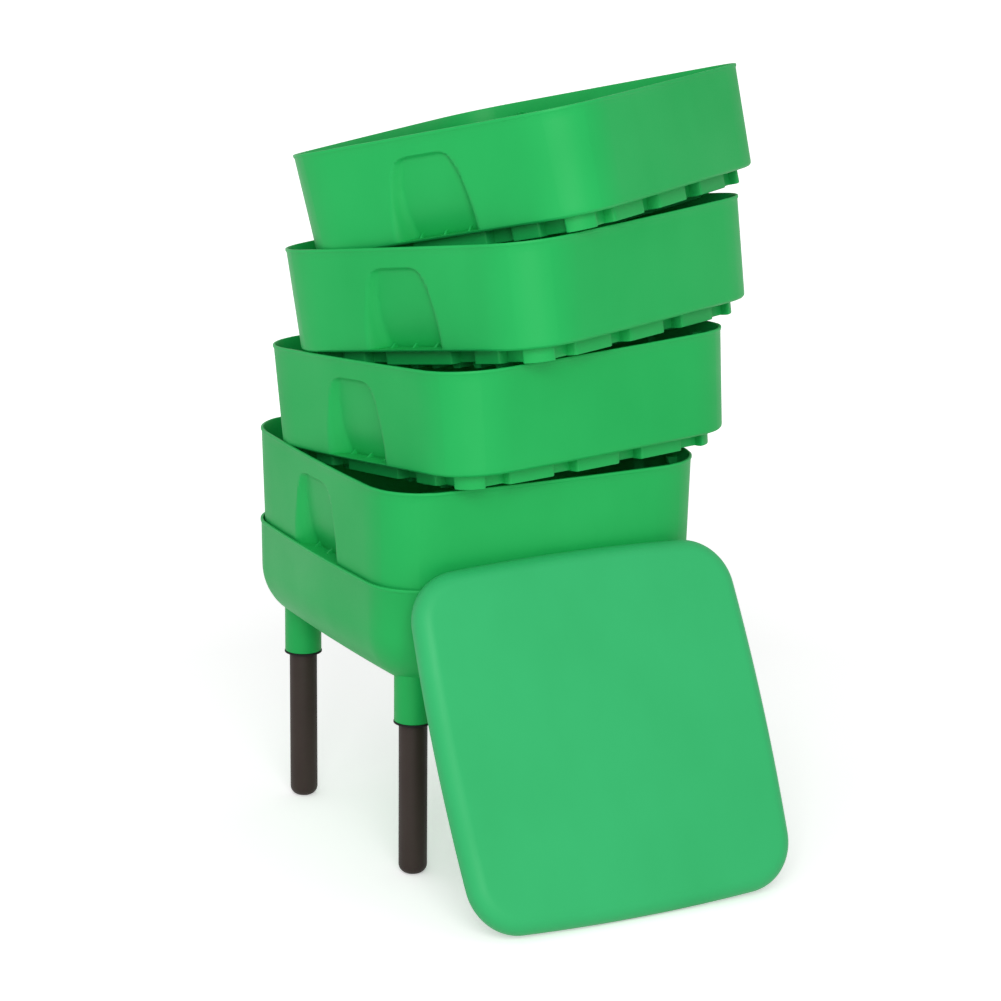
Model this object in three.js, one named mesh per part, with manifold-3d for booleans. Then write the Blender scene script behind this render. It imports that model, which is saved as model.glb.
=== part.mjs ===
// A stacking worm composter: a four-legged collector tub with a drain tap, four worm trays piled
// askew on it as if just lifted apart, and the lid leaning against the front.
// Millimetres, +Z up. The origin is on the floor under the middle of the whole footprint. The lid
// and the tap are on the -Y side, and the trays' hand recesses are in their -X and +X walls.

import * as THREE from 'three';
import { mergeVertices } from 'three/addons/utils/BufferGeometryUtils.js';
import Module from 'manifold-3d';

// Clearances and cutting
const seatGap = 0.3;               // left between two pieces that touch
const overrun = 4;                 // how far a cutter passes the face that it opens

// Plan outline of the tub and the trays: a square with bowed sides and round corners
const rimHalf = 189;               // half width between the middles of two sides, at a tray's rim
const cornerRadius = 61;
const sideBow = 5.65;              // rise of a side's middle over a chord as long as the tray
const tightestCorner = 12;
const sideSteps = 3;
const cornerSteps = 4;

// Tray
const trayCount = 4;
const wall = 2.8;
const wallHeight = 108.2;          // rim to the underside of the step
const wallDraft = 3;               // how much the wall closes in from lip to step
const lipHeight = 3;
const lipStand = 1;                // how far the rim's bead stands out
const stepRound = 5;               // round under the wall's lower edge
const stepRoundSteps = 2;
const stepPlate = 3;               // thickness of the step between wall and skirt
const skirtInset = 22;             // rim half width less skirt half width
const skirtCorner = 29;
const skirtDepth = 15.5;           // below the step
const floorPlate = 2.5;

// Gaps that part the skirt into blocks, as stretches measured from the middle of a side
const skirtGapDepth = 14;
const frontGaps = [[28, 56], [112, 140]];
const handleGaps = [[46, 75], [109, 137]];

// Hand recess in a handle wall
const recessTop = 20.5;            // below the rim
const recessHalfWidth = 53.5;      // at its lower end
const recessDepth = 20;            // at its lower end
const recessSteps = 5;
const recessFullness = 4;          // exponent of its section: 2 is an ellipse, more is squarer
// Shares of its height, half width and depth, from the top down
const recessShares = [
  [0, 0.42, 0.05], [0.015, 0.53, 0.17], [0.09, 0.68, 0.28],
  [0.32, 0.83, 0.42], [0.66, 0.945, 0.6], [0.85, 0.985, 0.82], [1, 1, 1],
];
const gussetSize = 9;
const gussetThickness = 3;
const gussetPitch = 30;
const gussetRoot = 1;              // how far it runs into the shelf and the back wall

// Ribs inside the walls that carry the tray above
const restInset = 115;             // from the middle of a side
const restThickness = 5;
const restReach = 10;              // in from the wall
const restHeight = 34;
const trayRestDrop = 11.5;         // below a tray's rim

// Drainage floor
const floorRibPitch = 29;
const floorRibCount = 9;
const floorRibWide = 15;
const floorRibNarrow = 8;
const floorRibDepth = 8;
const floorRibInset = 24;          // their ends, in from the skirt
const floorRibCorner = 60;          // round of the ribs' footprint
const slotLength = 100;
const slotWidth = 6;
const slotPitch = 128;
const slotsPerRow = 2;

// Collector tub
const tubRimStand = 0.8;          // rim half width less a tray's
const tubRimHalf = rimHalf + tubRimStand;
const tubRimHeight = 319.4;        // above the floor
const tubDepth = 113.4;            // from the rim to the underside
const tubWall = 3;
const tubDraft = 0.6;
const tubRound = 62;               // from the wall to the underside
const tubRoundSteps = 5;
const tubNest = 6.9;               // a nested tray's step lies this far below the tub's rim

// Legs and their sockets
const legSetback = 52;             // in from the tub's rim, along X and along Y
const legInset = tubRimHalf - legSetback;
const legRadius = 15;
const legFlat = 5;                 // radius of the flat that it stands on
const legRound = 12.4;             // height of its round end
const legRoundSteps = 3;
const legSides = 16;
const socketRadius = 19.9;
const socketDrop = 38.6;           // from the underside to the socket's lower end
const socketRise = 20;             // from the underside to its closed end inside the tub
const socketCap = 3;
const collarThickness = 2;
const collarRadius = 20.5;

// Drain tap, on an axis along Y through the tub's front wall
const tapRise = 27;                // above the tub's underside
const tapSides = 16;
const bossRadius = 15;
const bossSetback = 1.8;           // outer face, in from the tub's rim
const bossDepth = 31;              // outer face to inner face
const bossFace = tubRimHalf - bossSetback;
const bossBack = bossFace - bossDepth;
const shankRadius = 8;
const shankLength = 48;            // behind the flange
const flangeRadius = 14.5;
const flangeThickness = 4;
const gasketThickness = 2;
const gasketRadius = 13.5;
const nutAcross = 24;
const nutThickness = 8;
const washerThickness = 1.5;
const barrelRadius = 8.5;
const barrelLength = 30;           // in front of the flange
const waterway = 4.5;              // radius of the bore
const spoutRadius = 7.5;
const spoutDrop = 33;              // below the tap's axis
const housingRadius = 11;
const housingRise = 15;            // above the axis
const housingFall = 11;            // below it
const spindleSetback = 13;         // spindle axis in front of the flange
const spindleRadius = 7;
const spindleFoot = 8;             // below the axis
const grooveHeight = 10;           // middle of the seal's groove above the axis
const sealRadius = 1.2;            // of the ring's own section
const sealSteps = 5;
const leverHalfLength = 17;
const leverWidth = 8;
const leverThickness = 7;
const leverHubRadius = 10;

// Lid
const lidHalf = 190.4;
const lidCorner = 56;
const lidBow = 7.5;
const lidDepth = 22.4;
const lidRound = 16.7;
const lidRoundSteps = 3;
const lidWall = 2.8;
const lidRingInset = 5.2;          // locating ring inside the lid's edge
const lidRingWall = 2.4;
const lidRingSink = 1.5;           // how far its edge lies inside the lid's rim

// Poses: the tilt about X, the tilt about Y and the turn about Z of each tray, in degrees, and
// how far its middle is off the tub's
const trayTilts = [[0, 0, 0], [-4.99, -1.69, 9.41], [-8.06, -3.76, 21.62], [-11.83, -7.32, 29.18]];
const trayOffsets = [[0, 0], [12.7, -24.1], [26.7, -32.7], [33.9, -25.4]];
const lidLean = -26.36;            // degrees from upright
const lidTurn = 1.14;
const lidOffset = 10.4;            // along X
const seatSteps = 16;              // halvings in the search for a resting place

// Colours and finishes
const green = { color: 0x2fb35c, roughness: 0.45, metalness: 0 };
const legBrown = { color: 0x3a322e, roughness: 0.55, metalness: 0 };
const blackRubber = { color: 0x161616, roughness: 0.8, metalness: 0 };
const blackPlastic = { color: 0x1d1e1d, roughness: 0.5, metalness: 0 };

const wasm = await Module();
wasm.setup();

// A closed three.js geometry as a solid that can be joined and cut
function solid(geometry) {
  const bare = geometry.clone();
  bare.deleteAttribute('normal');
  bare.deleteAttribute('uv');
  const merged = mergeVertices(bare);
  const corners = merged.index.array;
  const kept = [];
  for (let i = 0; i < corners.length; i += 3) {
    const [a, b, c] = [corners[i], corners[i + 1], corners[i + 2]];
    if (a !== b && b !== c && c !== a) kept.push(a, b, c);
  }
  return new wasm.Manifold(new wasm.Mesh({
    numProp: 3,
    vertProperties: new Float32Array(merged.attributes.position.array),
    triVerts: new Uint32Array(kept),
  }));
}

function geometryOf(body) {
  const { vertProperties, triVerts } = body.getMesh();
  const geometry = new THREE.BufferGeometry();
  geometry.setAttribute('position', new THREE.BufferAttribute(vertProperties, 3));
  geometry.setIndex(new THREE.BufferAttribute(triVerts, 1));
  geometry.computeVertexNormals();
  return geometry;
}

function join(bodies) {
  return bodies.reduce((whole, body) => whole.add(body));
}

function cut(body, cutters) {
  return cutters.reduce((rest, cutter) => rest.subtract(cutter), body);
}

// Skins a stack of level sections, lowest first, and closes both ends
function loft(sections) {
  const count = sections[0].length;
  const index = [];
  for (let s = 0; s + 1 < sections.length; s++) {
    for (let i = 0; i < count; i++) {
      const a = s * count + i;
      const b = s * count + (i + 1) % count;
      index.push(a, b, b + count, a, b + count, a + count);
    }
  }
  const cap = (section) => {
    const flat = section.map((p) => new THREE.Vector2(p.x, p.y));
    return THREE.ShapeUtils.triangulateShape(flat, []);
  };
  for (const [a, b, c] of cap(sections[0])) index.push(c, b, a);
  const top = (sections.length - 1) * count;
  for (const [a, b, c] of cap(sections.at(-1))) index.push(top + a, top + b, top + c);
  const geometry = new THREE.BufferGeometry();
  const positions = sections.flat().flatMap((p) => [p.x, p.y, p.z]);
  geometry.setAttribute('position', new THREE.Float32BufferAttribute(positions, 3));
  geometry.setIndex(index);
  return geometry;
}

// Level outline of a square with bowed sides and round corners. An inset draws it in evenly.
function outline(half, corner, bow, inset, z) {
  const bowRadius = (half * half + bow * bow) / (2 * bow) - inset;
  const round = Math.max(corner - inset, tightestCorner);
  const back = bowRadius - (half - inset);
  const centre = (Math.sqrt(2 * (bowRadius - round) ** 2 - back * back) - back) / 2;
  const swing = Math.atan2(centre, centre + back);
  const points = [];
  for (let side = 0; side < 4; side++) {
    const turn = side * Math.PI / 2;
    for (let i = 0; i < sideSteps; i++) {
      const angle = turn + swing * (2 * i / sideSteps - 1);
      points.push(new THREE.Vector3(
        bowRadius * Math.cos(angle) - back * Math.cos(turn),
        bowRadius * Math.sin(angle) - back * Math.sin(turn),
        z,
      ));
    }
    const diagonal = turn + Math.PI / 4;
    for (let i = 0; i < cornerSteps; i++) {
      const angle = turn + swing + (Math.PI / 2 - 2 * swing) * i / cornerSteps;
      points.push(new THREE.Vector3(
        centre * Math.SQRT2 * Math.cos(diagonal) + round * Math.cos(angle),
        centre * Math.SQRT2 * Math.sin(diagonal) + round * Math.sin(angle),
        z,
      ));
    }
  }
  return points;
}

// Steps of a quarter round from a wall down to a level face: pairs of inset and height above it
function quarterRound(radius, steps) {
  return Array.from({ length: steps + 1 }, (_, i) => {
    const angle = Math.PI / 2 * i / steps;
    return [radius * (1 - Math.sin(angle)), radius * (1 - Math.cos(angle))];
  });
}

// A solid of revolution about Z from pairs of radius and height that start and end on the axis
function turned(profile, sides) {
  const points = profile.map(([r, z]) => new THREE.Vector2(r, z));
  return new THREE.LatheGeometry(points, sides).rotateX(Math.PI / 2);
}

// An upright cylinder between two heights
function rod(radius, bottom, top, sides) {
  return turned([[0, bottom], [radius, bottom], [radius, top], [0, top]], sides);
}

// Lays an upright piece down so that its head points to -Y
function alongY(geometry) {
  return geometry.rotateX(Math.PI / 2);
}

function box(x0, x1, y0, y1, z0, z1) {
  return new THREE.BoxGeometry(x1 - x0, y1 - y0, z1 - z0)
    .translate((x0 + x1) / 2, (y0 + y1) / 2, (z0 + z1) / 2);
}

// Copies of a geometry turned to the given sides, where 0 is +X, 1 is +Y, 2 is -X and 3 is -Y
function onSides(geometry, sides) {
  return sides.map((side) => solid(geometry.clone().rotateZ(side * Math.PI / 2)));
}

// Ribs that stand on the inside of the four walls and carry the step of the tray above
function restRibs(innerHalf, top) {
  const shape = new THREE.Shape([
    new THREE.Vector2(innerHalf - sideBow - restReach, top),
    new THREE.Vector2(innerHalf, top - restHeight),
    new THREE.Vector2(innerHalf + wall, top - restHeight),
    new THREE.Vector2(innerHalf + wall, top),
  ].reverse());
  const rib = new THREE.ExtrudeGeometry(shape, { depth: restThickness, bevelEnabled: false })
    .rotateX(Math.PI / 2);
  const places = [restInset + restThickness / 2, -restInset + restThickness / 2];
  return places.flatMap((y) => onSides(rib.clone().translate(0, y, 0), [0, 1, 2, 3]));
}

// The hand recess in the -X wall, grown evenly to make the wall behind it
function recess(grow) {
  const floor = stepPlate - wallHeight;
  const height = -recessTop - floor;
  const sections = recessShares.map(([heightShare, widthShare, depthShare]) => {
    const lowest = heightShare === 1 && grow > 0;
    const z = -recessTop - height * heightShare + (lowest ? -grow / 2 : grow * (1 - heightShare));
    const face = -(rimHalf - lipStand) + wallDraft * (-z / wallHeight);
    const halfWidth = recessHalfWidth * widthShare + grow;
    const depth = recessDepth * depthShare + grow;
    const outside = -rimHalf - overrun;
    const section = [new THREE.Vector3(outside, halfWidth, z), new THREE.Vector3(outside, -halfWidth, z)];
    for (let i = 0; i <= recessSteps; i++) {
      const angle = Math.PI * (i / recessSteps - 1 / 2);
      const across = Math.sign(Math.sin(angle)) * Math.abs(Math.sin(angle)) ** (2 / recessFullness);
      const into = Math.abs(Math.cos(angle)) ** (2 / recessFullness);
      section.push(new THREE.Vector3(face + depth * into, halfWidth * across, z));
    }
    return section;
  });
  return loft(sections.reverse());
}

// Small ribs between the recess's shelf and its back wall
function recessGussets() {
  const shelf = stepPlate - wallHeight;
  const back = -(rimHalf - lipStand - wallDraft) + recessDepth;
  const shape = new THREE.Shape([
    new THREE.Vector2(back - gussetSize, shelf - gussetRoot),
    new THREE.Vector2(back + gussetRoot, shelf - gussetRoot),
    new THREE.Vector2(back + gussetRoot, shelf + gussetSize),
  ]);
  const gusset = new THREE.ExtrudeGeometry(shape, { depth: gussetThickness, bevelEnabled: false })
    .rotateX(Math.PI / 2).translate(0, gussetThickness / 2, 0);
  const places = [-gussetPitch, 0, gussetPitch];
  return places.flatMap((y) => onSides(gusset.clone().translate(0, y, 0), [0, 2]));
}

// The notches that part the skirt into blocks, grown evenly to make the walls round them
function skirtNotches(grow) {
  const step = stepPlate - wallHeight;
  const bottom = -wallHeight - skirtDepth - overrun;
  const top = grow > 0 ? step : -wallHeight;
  const inner = rimHalf - skirtInset - skirtGapDepth - grow;
  const mirrored = (gaps) => gaps.flatMap(([from, to]) => [[from, to], [-to, -from]]);
  const notches = (gaps, sides) => mirrored(gaps).flatMap(([from, to]) => (
    onSides(box(inner, rimHalf, from - grow, to + grow, bottom, top), sides)
  ));
  return [...notches(frontGaps, [1, 3]), ...notches(handleGaps, [0, 2])];
}

// Ribs under the floor, and the slots between them that let worms and water through
function floorRibs() {
  const under = -wallHeight - skirtDepth;
  const shape = new THREE.Shape([
    new THREE.Vector2(-floorRibNarrow / 2, under - floorRibDepth),
    new THREE.Vector2(floorRibNarrow / 2, under - floorRibDepth),
    new THREE.Vector2(floorRibWide / 2, under + floorPlate / 2),
    new THREE.Vector2(-floorRibWide / 2, under + floorPlate / 2),
  ]);
  const reach = rimHalf - skirtInset - floorRibInset;
  const rib = new THREE.ExtrudeGeometry(shape, { depth: 2 * reach, bevelEnabled: false })
    .rotateX(Math.PI / 2).rotateZ(Math.PI / 2).translate(-reach, 0, 0);
  const ring = (z) => outline(reach, floorRibCorner, sideBow, 0, z);
  const footprint = solid(loft([ring(under - floorRibDepth - overrun), ring(under + floorPlate)]));
  const middle = (floorRibCount - 1) / 2;
  return Array.from({ length: floorRibCount }, (_, i) => (
    solid(rib.clone().translate(0, (i - middle) * floorRibPitch, 0)).intersect(footprint)
  ));
}

function floorSlots() {
  const under = -wallHeight - skirtDepth;
  const slots = [];
  for (let row = 1; row < floorRibCount; row++) {
    const y = (row - floorRibCount / 2) * floorRibPitch;
    for (let i = 0; i < slotsPerRow; i++) {
      const x = (i - (slotsPerRow - 1) / 2) * slotPitch;
      slots.push(solid(box(
        x - slotLength / 2, x + slotLength / 2, y - slotWidth / 2, y + slotWidth / 2,
        under - overrun, under + floorPlate + overrun,
      )));
    }
  }
  return slots;
}

// A worm tray, with the middle of its rim at the origin
function trayGeometry() {
  const ring = (inset, z) => outline(rimHalf, cornerRadius, sideBow, inset, z);
  const skirtRing = (inset, z) => outline(rimHalf - skirtInset, skirtCorner, sideBow, inset, z);
  const closing = lipStand + wallDraft;
  const outer = solid(loft([
    ...quarterRound(stepRound, stepRoundSteps)
      .map(([inset, rise]) => ring(closing + inset, rise - wallHeight)),
    ring(lipStand, -lipHeight - lipStand),
    ring(0, -lipHeight),
    ring(0, 0),
  ]));
  const skirt = cut(
    solid(loft([skirtRing(0, -wallHeight - skirtDepth), skirtRing(0, stepPlate / 2 - wallHeight)])),
    skirtNotches(0),
  );
  const upperHollow = solid(loft([
    ring(closing + wall, stepPlate - wallHeight),
    ring(lipStand + wall, -lipHeight),
    ring(wall, 0),
    ring(wall, overrun),
  ]));
  const lowerHollow = cut(
    solid(loft([
      skirtRing(wall, floorPlate - wallHeight - skirtDepth),
      skirtRing(wall, overrun - wallHeight),
    ])),
    skirtNotches(wall),
  );
  const hollow = cut(upperHollow.add(lowerHollow), onSides(recess(wall), [0, 2]));
  const shell = cut(outer.add(skirt), [hollow, ...onSides(recess(0), [0, 2])]);
  const ribs = restRibs(rimHalf - wall, -trayRestDrop).map((rib) => rib.intersect(outer));
  return geometryOf(cut(join([shell, ...ribs, ...recessGussets(), ...floorRibs()]), floorSlots()));
}

// The collector tub, with its leg sockets and the boss for the tap
function tubGeometry() {
  const ring = (inset, z) => outline(tubRimHalf, cornerRadius, sideBow, inset, z);
  const closing = lipStand + tubDraft;
  const underside = tubUnderside();
  const outer = solid(loft([
    ...quarterRound(tubRound, tubRoundSteps)
      .map(([inset, rise]) => ring(closing + inset, underside + rise)),
    ring(lipStand, tubRimHeight - lipHeight - lipStand),
    ring(0, tubRimHeight - lipHeight),
    ring(0, tubRimHeight),
  ]));
  const hollow = solid(loft([
    ...quarterRound(tubRound - tubWall, tubRoundSteps)
      .map(([inset, rise]) => ring(closing + tubWall + inset, underside + tubWall + rise)),
    ring(lipStand + tubWall, tubRimHeight - lipHeight),
    ring(tubWall, tubRimHeight),
    ring(tubWall, tubRimHeight + overrun),
  ]));
  const sockets = legPlaces().map(([x, y]) => solid(
    rod(socketRadius, socketFoot(), socketCeiling() + socketCap, legSides).translate(x, y, 0),
  ));
  const bores = legPlaces().map(([x, y]) => solid(
    rod(legRadius + seatGap, socketFoot() - overrun, socketCeiling(), legSides).translate(x, y, 0),
  ));
  const boss = solid(alongY(rod(bossRadius, bossBack, bossFace, tapSides)).translate(0, 0, tapHeight()));
  const throughBoss = rod(shankRadius + seatGap, bossBack - overrun, bossFace + overrun, tapSides);
  const tapHole = solid(alongY(throughBoss).translate(0, 0, tapHeight()));
  const restTop = tubRimHeight - tubNest - seatGap;
  const ribs = restRibs(tubRimHalf - tubWall, restTop).map((rib) => rib.intersect(outer));
  return geometryOf(cut(join([outer.subtract(hollow), ...ribs, ...sockets, boss]), [...bores, tapHole]));
}

function tubUnderside() {
  return tubRimHeight - tubDepth;
}

function tapHeight() {
  return tubUnderside() + tapRise;
}

function socketFoot() {
  return tubUnderside() - socketDrop;
}

// The underside of a socket's closed end, where the leg stops
function socketCeiling() {
  return tubUnderside() + socketRise - socketCap;
}

function legPlaces() {
  return [[-legInset, -legInset], [legInset, -legInset], [-legInset, legInset], [legInset, legInset]];
}

function legGeometry() {
  const round = Array.from({ length: legRoundSteps + 1 }, (_, i) => {
    const angle = Math.PI / 2 * i / legRoundSteps;
    return [legFlat + (legRadius - legFlat) * Math.sin(angle), legRound * (1 - Math.cos(angle))];
  });
  const head = socketCeiling() - seatGap;
  return turned([[0, 0], ...round, [legRadius, head], [0, head]], legSides);
}

// A washer-shaped ring about Z
function ringGeometry(inner, outer, bottom, top, sides) {
  return turned([[inner, bottom], [outer, bottom], [outer, top], [inner, top], [inner, bottom]], sides);
}

function tapBodyGeometry() {
  const spindleY = flangeThickness + spindleSetback;
  const solids = [
    alongY(rod(flangeRadius, 0, flangeThickness, tapSides)),
    alongY(rod(shankRadius, -shankLength, flangeThickness / 2, tapSides)),
    alongY(rod(barrelRadius, flangeThickness / 2, flangeThickness + barrelLength, tapSides)),
    rod(housingRadius, -housingFall, housingRise, tapSides).translate(0, -spindleY, 0),
    rod(spoutRadius, -spoutDrop, 0, tapSides).translate(0, -spoutY(), 0),
  ].map(solid);
  const bores = [
    alongY(rod(waterway, -shankLength - overrun, spoutY(), tapSides)),
    rod(waterway, -spoutDrop - overrun, 0, tapSides).translate(0, -spoutY(), 0),
    rod(spindleRadius + seatGap, -spindleFoot - seatGap, housingRise + overrun, tapSides)
      .translate(0, -spindleY, 0),
  ].map(solid);
  return geometryOf(cut(join(solids), bores));
}

function spoutY() {
  return flangeThickness + barrelLength - spoutRadius;
}

// The spindle with its handle, about its own axis, shut: its cross bore lies along X
function tapLeverGeometry() {
  const handleFoot = housingRise + seatGap;
  const handleHead = handleFoot + leverThickness;
  const spindle = turned([
    [0, -spindleFoot], [spindleRadius, -spindleFoot],
    [spindleRadius, grooveHeight - sealRadius], [spindleRadius - sealRadius, grooveHeight - sealRadius],
    [spindleRadius - sealRadius, grooveHeight + sealRadius], [spindleRadius, grooveHeight + sealRadius],
    [spindleRadius, handleHead - leverThickness / 2], [0, handleHead - leverThickness / 2],
  ], tapSides);
  const hub = rod(leverHubRadius, handleFoot, handleHead, tapSides);
  const blade = box(
    -leverHalfLength, leverHalfLength, -leverWidth / 2, leverWidth / 2, handleFoot, handleHead,
  );
  const crossBore = rod(waterway, -housingRadius, housingRadius, tapSides).rotateY(Math.PI / 2);
  return geometryOf(cut(join([spindle, hub, blade].map(solid)), [solid(crossBore)]));
}

// The spindle's seal, which fills its groove less a gap
function sealGeometry() {
  const middle = spindleRadius - sealRadius / 2 + seatGap / 2;
  const radius = sealRadius / 2 - seatGap / 4;
  const section = Array.from({ length: sealSteps + 1 }, (_, i) => {
    const angle = 2 * Math.PI * i / sealSteps;
    return [middle + radius * Math.cos(angle), grooveHeight + radius * Math.sin(angle)];
  });
  return turned(section, tapSides);
}

function nutGeometry(back) {
  const across = nutAcross / Math.sqrt(3);
  const nut = solid(alongY(rod(across, back - nutThickness, back, 6)));
  const bore = rod(shankRadius + seatGap, back - nutThickness - overrun, back + overrun, tapSides);
  return geometryOf(nut.subtract(solid(alongY(bore))));
}

// The lid, its open rim on the plane z = 0 and its face towards +Z
function lidGeometry() {
  const ring = (inset, z) => outline(lidHalf, lidCorner, lidBow, inset, z);
  const shoulder = quarterRound(lidRound, lidRoundSteps)
    .map(([inset, rise]) => [inset, lidDepth - rise]).reverse();
  const innerShoulder = quarterRound(lidRound - lidWall, lidRoundSteps)
    .map(([inset, rise]) => [lidWall + inset, lidDepth - lidWall - rise]).reverse();
  const outer = solid(loft([ring(0, 0), ...shoulder.map(([inset, z]) => ring(inset, z))]));
  const hollow = solid(loft([
    ring(lidWall, -overrun),
    ...innerShoulder.map(([inset, z]) => ring(inset, z)),
  ]));
  const top = lidDepth - lidWall / 2;
  const ringBack = lidRingInset + lidRingWall;
  const locating = solid(loft([ring(lidRingInset, lidRingSink), ring(lidRingInset, top)]))
    .subtract(solid(loft([ring(ringBack, -overrun), ring(ringBack, lidDepth)])))
    .intersect(outer);
  return geometryOf(outer.subtract(hollow).add(locating));
}

const wormery = new THREE.Group();

function addMesh(name, geometry, finish, parent = wormery) {
  const mesh = new THREE.Mesh(geometry, new THREE.MeshStandardMaterial(finish));
  mesh.name = name;
  parent.add(mesh);
  return mesh;
}

// Solids in the frame of the whole, for seating one piece on another
function placed(geometry, group) {
  group.updateMatrixWorld(true);
  return solid(geometry.clone().applyMatrix4(group.matrixWorld));
}

// Moves a group along an axis from a clear place to where its piece first touches the others
function seat(geometry, group, axis, touching, clear, others) {
  let [low, high] = [touching, clear];
  for (let i = 0; i < seatSteps; i++) {
    group.position[axis] = (low + high) / 2;
    const body = placed(geometry, group);
    if (others.some((other) => body.intersect(other).volume() > 0)) low = group.position[axis];
    else high = group.position[axis];
  }
  group.position[axis] = high + Math.sign(clear - touching) * seatGap;
  return placed(geometry, group);
}

// Collector, legs and collars
const tub = tubGeometry();
addMesh('collector_tub', tub, green);
const legNames = ['front_left', 'front_right', 'back_left', 'back_right'];
const collarTop = socketFoot() - seatGap;
legPlaces().forEach(([x, y], i) => {
  addMesh(`leg_${legNames[i]}`, legGeometry(), legBrown).position.set(x, y, 0);
  const collar = ringGeometry(
    legRadius + seatGap, collarRadius, collarTop - collarThickness, collarTop, legSides,
  );
  addMesh(`leg_collar_${legNames[i]}`, collar, blackRubber).position.set(x, y, 0);
});

// Tap, its parts along -Y from the tub's boss
const tap = new THREE.Group();
tap.position.set(0, 0, tapHeight());
wormery.add(tap);
const flangeBack = bossFace + seatGap + gasketThickness + seatGap;
const gasket = alongY(ringGeometry(
  shankRadius + seatGap, gasketRadius, bossFace + seatGap, bossFace + seatGap + gasketThickness, tapSides,
));
addMesh('tap_gasket', gasket, blackRubber, tap);
addMesh('tap_body', tapBodyGeometry(), blackPlastic, tap).position.y = -flangeBack;
const washerFace = bossBack - seatGap;
const washer = alongY(ringGeometry(
  shankRadius + seatGap, gasketRadius, washerFace - washerThickness, washerFace, tapSides,
));
addMesh('tap_washer', washer, blackRubber, tap);
addMesh('tap_nut', nutGeometry(washerFace - washerThickness - seatGap), blackPlastic, tap);
const spindle = new THREE.Group();
spindle.position.y = -flangeBack - flangeThickness - spindleSetback;
tap.add(spindle);
addMesh('tap_lever', tapLeverGeometry(), blackPlastic, spindle);
addMesh('tap_seal', sealGeometry(), blackRubber, spindle);

// Trays: the first nests in the tub, and each of the others is let down on the one below
const tray = trayGeometry();
let below = solid(tub);
for (let n = 0; n < trayCount; n++) {
  const place = new THREE.Group();
  const [tiltX, tiltY, turnZ] = trayTilts[n].map(THREE.MathUtils.degToRad);
  place.rotation.set(tiltX, tiltY, turnZ);
  place.position.set(trayOffsets[n][0], trayOffsets[n][1], tubRimHeight - tubNest + wallHeight);
  wormery.add(place);
  addMesh(`tray_${n + 1}`, tray, green, place);
  if (n === 0) {
    below = placed(tray, place);
    continue;
  }
  const lowerRim = place.parent.children.at(-2).position.z;
  below = seat(tray, place, 'z', lowerRim + wallHeight / 2, lowerRim + 2 * wallHeight, [below]);
}

// Lid: its foot on the floor, pushed back until its top edge meets the tub or the first tray
const lid = lidGeometry();
const lidPlace = new THREE.Group();
const [lean, turn] = [lidLean, lidTurn].map(THREE.MathUtils.degToRad);
lidPlace.rotation.set(Math.PI / 2 + lean, 0, turn, 'ZXY');
wormery.add(lidPlace);
addMesh('lid', lid, green, lidPlace);
lidPlace.updateMatrixWorld(true);
const lidBox = new THREE.Box3().setFromObject(lidPlace, true);
lidPlace.position.set(lidOffset, 0, -lidBox.min.z);
const firstTray = wormery.getObjectByName('tray_1').parent;
seat(lid, lidPlace, 'y', -rimHalf, -2 * rimHalf, [solid(tub), placed(tray, firstTray)]);

// Brings the middle of the footprint over the origin
wormery.updateMatrixWorld(true);
const middle = new THREE.Box3().setFromObject(wormery, true).getCenter(new THREE.Vector3());
wormery.position.set(-middle.x, -middle.y, 0);

export default wormery;
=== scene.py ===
"""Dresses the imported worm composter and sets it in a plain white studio.

Lengths are in metres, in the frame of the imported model: +Z is up and the front is towards -Y.
Each sub-assembly is a class that builds its own meshes and gives them their finishes.
"""

from __future__ import annotations

import logging
import math
from contextlib import contextmanager
from dataclasses import dataclass, replace
from enum import Enum
from functools import cached_property
from typing import Any, Callable, Iterable, Iterator, Sequence

import bpy
from mathutils import Matrix, Vector

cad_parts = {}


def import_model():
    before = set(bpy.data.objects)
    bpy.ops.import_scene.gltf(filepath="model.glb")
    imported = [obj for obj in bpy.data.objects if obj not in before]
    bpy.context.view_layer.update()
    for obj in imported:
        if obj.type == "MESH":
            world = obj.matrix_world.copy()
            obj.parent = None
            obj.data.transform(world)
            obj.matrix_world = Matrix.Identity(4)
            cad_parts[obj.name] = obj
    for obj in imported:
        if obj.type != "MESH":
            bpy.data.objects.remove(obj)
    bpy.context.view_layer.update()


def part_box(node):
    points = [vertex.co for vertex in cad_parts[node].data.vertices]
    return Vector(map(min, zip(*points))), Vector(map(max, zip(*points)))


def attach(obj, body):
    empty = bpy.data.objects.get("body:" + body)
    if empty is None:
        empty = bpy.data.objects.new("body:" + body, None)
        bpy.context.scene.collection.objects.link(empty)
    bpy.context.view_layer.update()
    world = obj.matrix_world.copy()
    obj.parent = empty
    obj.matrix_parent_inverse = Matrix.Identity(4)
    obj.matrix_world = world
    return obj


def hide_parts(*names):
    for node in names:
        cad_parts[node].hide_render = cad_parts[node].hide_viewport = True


LOG = logging.getLogger("worm_composter")
QUARTER_TURN = math.pi / 2
NEAR = 1e-5
SIDES = range(4)
Piece = bpy.types.Object
Socket = bpy.types.NodeSocket
Tree = bpy.types.NodeTree
Sockets = bpy.types.bpy_prop_collection
Colour = tuple[float, float, float, float]
Ring = list[Vector]
Table = Sequence[tuple[float, float]]
Test = Callable[[Vector, Vector], bool]


# Bench work: selecting, joining, cutting and finishing meshes


class Cut(Enum):
    """What one solid does to another."""

    JOIN = "UNION"
    TAKE_AWAY = "DIFFERENCE"
    KEEP_COMMON = "INTERSECT"


def pick(*pieces: Piece) -> None:
    """Selects only these objects and makes the last one active."""
    bpy.ops.object.select_all(action="DESELECT")
    for piece in pieces:
        piece.select_set(True)
    bpy.context.view_layer.objects.active = pieces[-1]


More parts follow.
